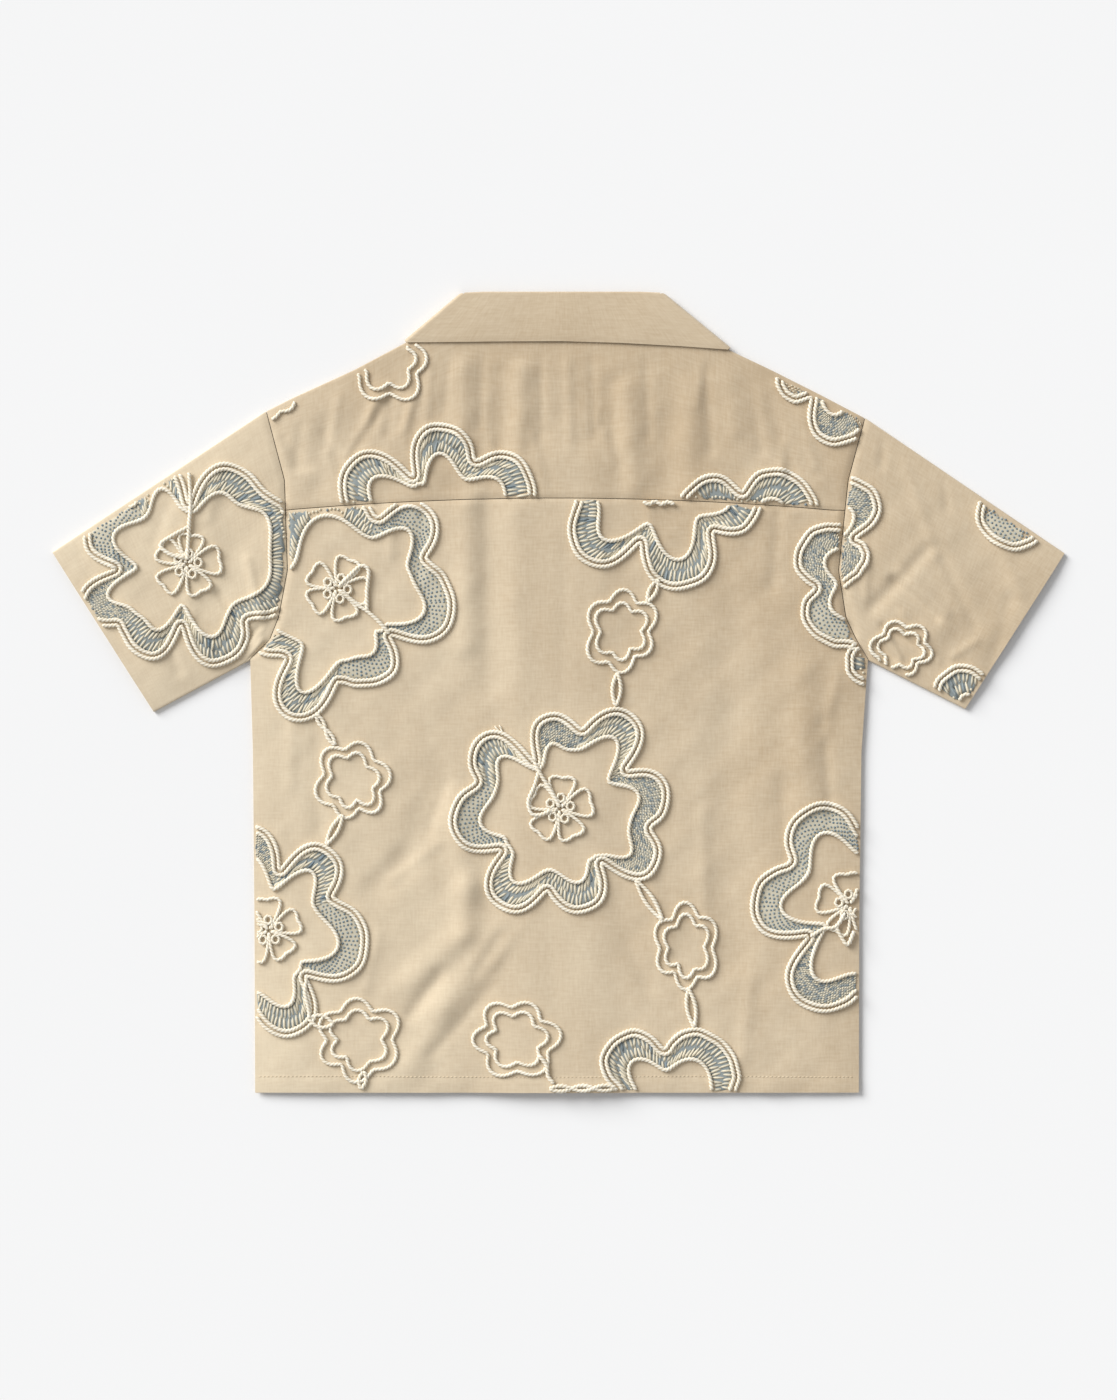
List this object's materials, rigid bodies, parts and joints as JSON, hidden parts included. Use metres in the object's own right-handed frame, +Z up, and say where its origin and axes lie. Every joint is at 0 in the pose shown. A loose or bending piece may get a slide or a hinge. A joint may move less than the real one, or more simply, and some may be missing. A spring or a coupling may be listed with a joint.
{
  "type": "embroidered shirt, camp collar, short sleeves, laid flat face down",
  "caption": "Short-sleeved khaki cotton camp-collar shirt with couched cord flower embroidery, laid flat face down with its back showing.",
  "frame": {"origin": "centre of the shirt's box on the surface it lies on", "axes": "+Z up out of the back of the shirt, +Y towards the collar, -X towards the wearer's left sleeve"},
  "size_m": [0.6718, 0.531, 0.0088],
  "materials": {
    "khaki_cotton": "matt plain weave with fine slubs",
    "embroidery": "matt couched cord over a dusty blue sewn band",
    "horn_button": "satin"
  },
  "bodies": {
    "root": {"back_panel": "khaki_cotton", "back_yoke": "khaki_cotton", "button_1": "horn_button", "button_2": "horn_button", "button_3": "horn_button", "button_4": "horn_button", "clover_centre": "embroidery", "clover_low_left": "embroidery", "clover_low_right": "embroidery", "clover_sleeve": "embroidery", "clover_upper_left": "embroidery", "collar": "khaki_cotton", "flower_left": "embroidery", "flower_low_left": "embroidery", "flower_low_middle": "embroidery", "flower_right": "embroidery", "flower_sleeve_low": "embroidery", "flower_sleeve_top": "embroidery", "flower_upper": "embroidery", "flower_yoke": "embroidery", "front_left": "khaki_cotton", "front_right": "khaki_cotton", "revers_left": "khaki_cotton", "revers_right": "khaki_cotton", "ring_armhole": "embroidery", "ring_centre": "embroidery", "ring_hem": "embroidery", "ring_low_left": "embroidery", "ring_low_right": "embroidery", "ring_shoulder": "embroidery", "ring_sleeve": "embroidery", "ring_sleeve_2": "embroidery", "ring_sleeve_3": "embroidery", "ring_upper_left": "embroidery", "ring_upper_right": "embroidery", "ring_yoke": "embroidery", "sleeve_left": "khaki_cotton", "sleeve_right": "khaki_cotton"}
  },
  "joints": []
}
